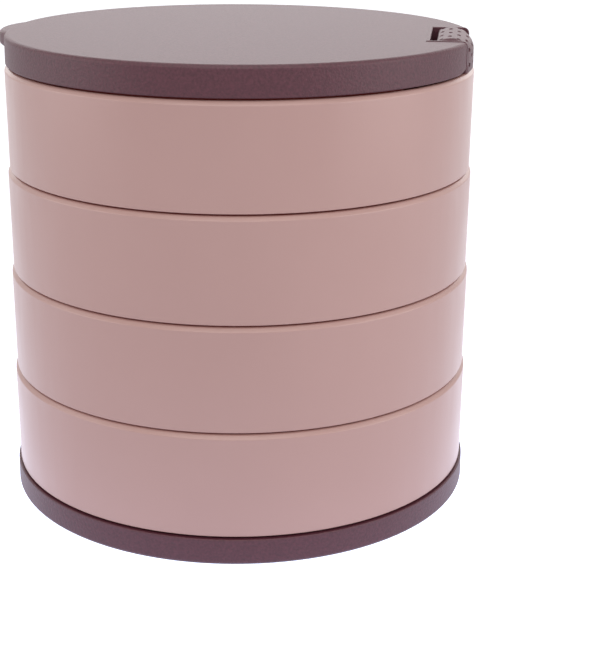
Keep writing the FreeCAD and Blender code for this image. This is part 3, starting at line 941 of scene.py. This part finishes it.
@dataclass
class Hinge:
    """The block that carries the lid, its screws and its pin.

    The dimples lie where rays from dimple_eye meet its skin. A row is its rays' lean, in degrees.
    """

    seat: float = 91.45
    flange: float = 2.8
    flange_x: float = 36.0
    flange_half: float = 12.5
    flange_corner: float = 3.0
    knuckle_x: float = 43.2
    knuckle_end: float = 42.85
    knuckle_half: float = 10.75
    knuckle_z: float = 95.25
    rim: float = 50.65
    well: float = 49.175
    shoulder: float = 101.6
    outer_shoulder: float = 101.3
    shoulder_ease: float = 0.8
    outer_ease: float = 3.0
    apex: tuple[float, float] = (45.6, 102.66)
    crest: float = 6.3
    end_ease: float = 1.1
    end_lean_in: float = 0.4
    end_lean_out: float = 0.5
    inner_face: float = 0.9
    waist: float = 0.07
    waist_rise: float = 1.5
    slices: int = 32
    pin_hole: float = 1.02
    pin_reach: float = 20.0
    screw_x: float = 39.4
    screw_y: float = 8.5
    screw_head: float = 2.28
    screw_rise: float = 1.4
    screw_shank: float = 1.24
    screw_length: float = 7.1
    screw_sink: float = 2.35
    screw_hole: float = 1.3
    dimple: Triple = (0.5, 1.2, 0.4)
    dimple_pitch: float = 6.0
    dimple_rows: tuple[float, ...] = (-64, -42, -21, 0, 21, 41, 58, 76, 98, 118)
    dimple_eye: float = 97.3
    dimple_end: float = 1.0
    dimple_foot: float = 0.6
    dimple_lift: float = 0.1

    def build(self) -> None:
        """Builds the block and its screws, and dresses the pin."""
        block = self.knuckle()
        bm = combined(block.copy(), self.dimples(block), Join.CUT)
        block.free()
        bm = combined(bm, self.foot(), Join.ADD)
        bm = combined(bm, cross_rod(self.pin_hole, self.pin_reach, *Lid.pin), Join.CUT)
        finished("hinge_knuckle", bm, "tray_1", MAUVE_ABS, "hinge_block")
        seat = self.seat + self.flange - self.screw_rise
        screws = [PanScrew((self.screw_x, y, seat), self.screw_head, self.screw_rise, self.screw_shank,
                           self.screw_length).draw() for y in (-self.screw_y, self.screw_y)]
        pair = combined(*screws, Join.ADD)
        finished("hinge_pan_screws", pair, "tray_1", ZINC_STEEL, "hinge_screws")
        dress("hinge_pin", ZINC_STEEL)

    def knuckle(self) -> Drawing:
        """Draws the arch in the lid's notch, rounded at its ends, bent to the rim and waisted.

        Returns:
            A closed drawing.
        """
        half, (apex_x, apex_z), pin_z = self.knuckle_half, self.apex, Lid.pin[1]
        bm = drawn_along([
            Corner(self.knuckle_end, self.knuckle_z),
            Corner(self.knuckle_end, self.shoulder, self.shoulder_ease), Corner(apex_x, apex_z, self.crest),
            Corner(self.rim, self.outer_shoulder, self.outer_ease), Corner(self.rim, self.knuckle_z),
        ], half, self.slices, steps=8)
        for vert in bm.verts:
            vert.co.y = half * math.sin(vert.co.y / half * math.pi / 2)
            past = max(abs(vert.co.y) - half + self.end_ease, 0.0) / self.end_ease
            drop = self.end_ease * (1 - math.sqrt(max(1 - past ** 2, 0.0)))
            inward = self.end_lean_in if vert.co.x < self.knuckle_end + self.inner_face else 0.0
            outward = self.end_lean_out * share(vert.co.x, apex_x, self.rim)
            up = share(vert.co.z, pin_z, self.shoulder)
            vert.co += Vector((drop * (inward - outward), 0, -drop * up))
            outer = share(vert.co.x, apex_x, self.rim)
            along = 2 * (vert.co.x - self.knuckle_end) / (self.rim - self.knuckle_end) - 1
            vert.co.x -= outer * (self.rim - math.sqrt(self.rim ** 2 - vert.co.y ** 2))
            if vert.co.z > pin_z + self.waist_rise:
                vert.co.y *= 1 - self.waist * max(1 - along ** 2, 0.0)
        return bm

    def dimples(self, block: Drawing) -> Drawing:
        """Staggered hollows over the crest, from the inner end down the outer face.

        Args:
            block: The knuckle that they are pressed into.

        Returns:
            One drawing of separate ellipsoids.
        """
        bm = bmesh.new()
        skin = BVHTree.FromBMesh(block)
        for row, lean in enumerate(self.dimple_rows):
            way = Vector((math.sin(math.radians(lean)), 0, math.cos(math.radians(lean))))
            for column in range(-2, 2):
                y = self.dimple_pitch * (column + (1.0 if row % 2 else 0.5))
                if abs(y) > self.knuckle_half - self.dimple_end:
                    continue
                place, out, _, _ = skin.ray_cast(Vector((self.apex[0], y, self.dimple_eye)), way)
                if place.z < self.knuckle_z + self.dimple_foot:
                    continue
                made = bmesh.ops.create_uvsphere(bm, u_segments=16, v_segments=8, radius=1.0)["verts"]
                bmesh.ops.scale(bm, vec=self.dimple, verts=made)
                tilt = Matrix.Rotation(math.atan2(out.x, out.z), 3, "Y")
                bmesh.ops.rotate(bm, verts=made, cent=(0, 0, 0), matrix=tilt)
                bmesh.ops.translate(bm, verts=made, vec=place + out * self.dimple_lift)
        return bm

    def foot(self) -> Drawing:
        """Draws the flange inside the tray and the stem up to the knuckle.

        Returns:
            A closed drawing.
        """
        top = self.seat + self.flange
        flange = cuboid((self.flange_x, PAST_RIM), self.flange_half, (self.seat, top))
        upright = [e for e in flange.edges if all(v.co.x < self.flange_x + TOUCH for v in e.verts)
                   and abs(e.verts[0].co.z - e.verts[1].co.z) > TOUCH]
        rounded(flange, upright, self.flange_corner, 8)
        stem = cuboid((self.knuckle_x, PAST_RIM), self.knuckle_half,
                      (top - SPARE / 2, self.knuckle_z + SPARE))
        both = combined(flange, stem, Join.ADD)
        both = combined(both, rod(self.well, (BELOW_LID, ABOVE_LID)), Join.KEEP)
        for y in (-self.screw_y, self.screw_y):
            for radius, low in ((self.screw_sink, top - self.screw_rise), (self.screw_hole, BELOW_LID)):
                both = combined(both, rod(radius, (low, top + SPARE), self.screw_x, y, 32), Join.CUT)
        return both


@dataclass
class RingCushion:
    """The flocked foam that holds rings: a block slit into soft rolls, which lie a little unevenly.

    Each noise is a step from roll to roll, a length along a roll, and a layer. What is further than free
    from the middle is held by the well's walls and leans less. A roll's middle is a share of the pitch.
    """

    left: float = -35.24
    half: float = 27.5
    bottom: float = 75.3
    crest: float = 93.65
    rolls: int = 6
    pitch: float = 7.2
    slit: float = 0.7
    slit_depth: float = 8.5
    roll_ease: float = 3.15
    roll_middle: float = 0.45
    foot_ease: float = 0.8
    end_ease: float = 2.2
    slices: int = 48
    sag: float = 0.35
    lump: float = 0.22
    lean_noise: Triple = (3.7, 14.0, 0.5)
    drop_noise: Triple = (5.3, 11.0, 7.5)
    middle: float = -14.0
    free: float = 20.0
    held: float = 0.3

    def build(self) -> None:
        """Builds the foam."""
        bm = self.rolled()
        self.soften(bm)
        obj = finished("ring_cushion", bm, "tray_1", FLOCK, "ring_sponge")

    def rolled(self) -> Drawing:
        """Draws the rolls and the block under them as one section along Y with rounded ends.

        Returns:
            A closed drawing.
        """
        slit_foot = self.crest - self.slit_depth
        corners = []
        for number in range(self.rolls):
            low = self.left + number * self.pitch
            high = low + self.pitch - self.slit
            corners += [Corner(low, slit_foot), Corner(low, self.crest, self.roll_ease),
                        Corner(high, self.crest, self.roll_ease), Corner(high, slit_foot)]
        corners[0], corners[-1] = (Corner(x, self.bottom, self.foot_ease) for x in (self.left, high))
        bm = drawn_along(corners, self.half, self.slices, steps=7)
        ends = [e for e in bm.edges if all(abs(v.co.y) > self.half - MERGE_CUT for v in e.verts)]
        rounded(bm, ends, self.end_ease, 6)
        return bm

    def soften(self, bm: Drawing) -> None:
        """Lets the rolls sag towards their ends and lie a little unevenly, as cut foam does.

        Args:
            bm: The foam.
        """
        for vert in bm.verts:
            height = share(vert.co.z, self.bottom, self.crest)
            vert.co.z -= self.sag * height * (vert.co.y / self.half) ** 4
            roll = round((vert.co.x - self.left) / self.pitch - self.roll_middle)
            lean, drop = (noise.noise(Vector((roll * step, vert.co.y / length, layer)))
                          for step, length, layer in (self.lean_noise, self.drop_noise))
            loose = 1 if abs(vert.co.x - self.middle) < self.free else self.held
            vert.co.x += self.lump * lean * height ** 3 * loose
            vert.co.z -= self.lump * abs(drop) * height ** 3


@dataclass
class Shaft:
    """The shaft and what is threaded on it: the screws get their recesses, the turned pieces stay."""

    steel: tuple[str, ...] = ("pivot_shaft", "bottom_washer", "thrust_washer", "disc_spring", "top_washer")
    plastic: tuple[str, ...] = tuple(f"friction_washer_{i}" for i in range(1, 5))
    x: float = 43.225
    top_seat: float = 89.85
    bottom_seat: float = 1.8
    head: float = 2.78
    rise: float = 1.3
    shank: float = 1.44
    length: float = 8.0

    def build(self) -> None:
        """Builds the two screws and dresses the rest of the shaft."""
        for end, seat, upright in (("top", self.top_seat, True), ("bottom", self.bottom_seat, False)):
            screw = PanScrew((self.x, 0, seat), self.head, self.rise, self.shank, self.length, upright)
            finished(f"{end}_pan_screw", screw.draw(), "base", ZINC_STEEL, f"{end}_screw")
        for node in self.steel:
            dress(node, ZINC_STEEL)
        for node in self.plastic:
            dress(node, NYLON)


# Studio


@dataclass
class Camera:
    """The photograph's view, in millimetres and degrees. The shift is a share of the frame's height."""

    distance: float = 321.788
    height: float = 143.425
    pitch: float = 13.93
    yaw: float = 2.36
    roll: float = 0.455
    turn: float = 9.0
    focal: float = 81.4
    shift: float = -0.1937
    near: float = 10.0
    far: float = 20000.0

    def build(self) -> None:
        """Places the camera and makes it the scene's."""
        pitch, yaw, roll = (math.radians(v) for v in (self.pitch, self.yaw, self.roll))
        turn = Matrix.Rotation(math.radians(self.turn), 3, "Z")
        ahead = turn @ Vector((math.sin(yaw) * math.cos(pitch), math.cos(yaw) * math.cos(pitch),
                               -math.sin(pitch)))
        right = ahead.cross(Vector((0, 0, 1))).normalized()
        up = right.cross(ahead)
        right, up = (right * math.cos(roll) + up * math.sin(roll),
                     up * math.cos(roll) - right * math.sin(roll))
        place = turn @ Vector((0, -self.distance, self.height)) * MM
        data = bpy.data.cameras.new("photo_camera")
        data.lens = self.focal
        data.shift_y = self.shift
        data.clip_start, data.clip_end = self.near * MM, self.far * MM
        camera = linked("photo_camera", data)
        camera.matrix_world = Matrix.Translation(place) @ Matrix((right, up, -ahead)).transposed().to_4x4()
        bpy.context.scene.camera = camera


@dataclass
class Softbox:
    """A lamp panel: place in millimetres, what it looks at, its size and how bright its face is."""

    name: str
    place: Triple
    aim: Triple
    size: tuple[float, float]
    face: float

    def build(self) -> None:
        """Adds the lamp."""
        data = bpy.data.lights.new(self.name, "AREA")
        data.shape = "RECTANGLE"
        data.size, data.size_y = self.size[0] * MM, self.size[1] * MM
        data.energy = self.face * math.pi * data.size * data.size_y
        place = Vector(self.place) * MM
        facing = (Vector(self.aim) * MM - place).to_track_quat("-Z", "Y")
        linked(self.name, data).matrix_world = Matrix.Translation(place) @ facing.to_matrix().to_4x4()


@dataclass
class Studio:
    """White surroundings in a dim grey light, with panels at the sides, the back and the top, and a key
    panel on the camera's side.

    The floor is white card. For the camera it whitens from fade at fade_near to 1 at fade_far. Its cool
    glow on the object is bounce over the distance in metres, and even in the core.
    """

    ambient: float = 0.33
    card_colour: str = "B6B6BA"
    card_size: float = 6000.0
    card_drop: float = 0.05
    fade: float = 0.6
    fade_near: float = 300.0
    fade_far: float = 1200.0
    bounce: float = 0.0549
    bounce_colour: str = "CEDBFF"
    core: float = 50.0
    panels: list[Softbox] = field(default_factory=lambda: [
        Softbox("panel_left", (-460, -160, 190), (0, 0, 50), (440, 420), 1.5),
        Softbox("panel_right", (470, -110, 190), (0, 0, 50), (440, 420), 2.05),
        Softbox("panel_back", (-60, 600, 330), (0, 0, 80), (1000, 420), 1.3),
        Softbox("panel_top", (0, 60, 560), (0, 0, 60), (500, 500), 0.9),
        Softbox("key_front", (60, -620, 640), (0, 0, 50), (900, 600), 2.2),
    ])

    def build(self) -> None:
        """Builds the floor, the surroundings, the panels and the camera."""
        self.floor()
        self.surroundings()
        for panel in self.panels:
            panel.build()
        bpy.context.scene.view_settings.view_transform = "Standard"
        Camera().build()

    def seen(self, tree: bpy.types.NodeTree) -> bpy.types.NodeSocket:
        """One for rays that should find a white background, else nought.

        Args:
            tree: The node tree.

        Returns:
            The socket.
        """
        rays = add_node(tree, "ShaderNodeLightPath").outputs
        found = rays["Is Camera Ray"]
        for other in ("Is Glossy Ray", "Is Transmission Ray"):
            either = add_node(tree, "ShaderNodeMath", {0: found, 1: rays[other]}, operation="MAXIMUM")
            found = either.outputs["Value"]
        return found

    def surroundings(self) -> None:
        """White where the camera looks and a plain grey light elsewhere."""
        world = bpy.data.worlds.new("surroundings")
        bpy.context.scene.world = world
        world.use_nodes = True
        tree = world.node_tree
        light = add_node(tree, "ShaderNodeMapRange", {"Value": self.seen(tree)},
                         {"To Min": self.ambient, "To Max": 1.0})
        tree.links.new(light.outputs["Result"], tree.nodes["Background"].inputs["Strength"])
        tree.nodes["Background"].inputs["Color"].default_value = (1, 1, 1, 1)

    def floor(self) -> None:
        """White card that glows for the camera and still takes the object's shadow."""
        bm = bmesh.new()
        bmesh.ops.create_grid(bm, x_segments=1, y_segments=1, size=self.card_size * MM)
        bmesh.ops.translate(bm, verts=bm.verts, vec=(0, 0, -self.card_drop * MM))
        obj = linked("floor", as_mesh(bm, "floor"))
        material = bpy.data.materials.new("white_card")
        material.use_nodes = True
        obj.data.materials.append(material)
        tree = material.node_tree
        card = tree.nodes["Principled BSDF"]
        place = add_node(tree, "ShaderNodeTexCoord").outputs["Object"]
        Skin(tree, card, place).fix({
            "Base Color": linear(self.card_colour), "Roughness": 1.0, "Specular IOR Level": 0.0})
        away = add_node(tree, "ShaderNodeVectorMath", {0: place}, operation="LENGTH").outputs["Value"]
        white = add_node(tree, "ShaderNodeMapRange", {"Value": away}, {
            "From Min": self.fade_near * MM, "From Max": self.fade_far * MM,
            "To Min": self.fade, "To Max": 1.0})
        shown = add_node(tree, "ShaderNodeMath", {0: white.outputs["Result"], 1: self.seen(tree)},
                         operation="MULTIPLY")
        glow = add_node(tree, "ShaderNodeEmission", {"Strength": shown.outputs["Value"]})
        beside = add_node(tree, "ShaderNodeMath", {0: away}, {1: self.core * MM}, operation="MAXIMUM")
        bounce = add_node(tree, "ShaderNodeMath", {1: beside.outputs["Value"]}, {0: self.bounce},
                          operation="DIVIDE")
        sheen = add_node(tree, "ShaderNodeEmission", {"Strength": bounce.outputs["Value"]},
                         {"Color": linear(self.bounce_colour)})
        surface = card.outputs["BSDF"]
        for light in (glow, sheen):
            added = add_node(tree, "ShaderNodeAddShader", {0: surface, 1: light.outputs["Emission"]})
            surface = added.outputs["Shader"]
        tree.links.new(surface, tree.nodes["Material Output"].inputs["Surface"])


def main() -> None:
    """Builds every piece and the studio."""
    Studio().build()
    Base().build()
    for number in (4, 3, 2, 1):
        Tray(number).build()
    Shaft().build()
    Hinge().build()
    Lid().build()
    RingCushion().build()


if __name__ == "__main__":
    main()
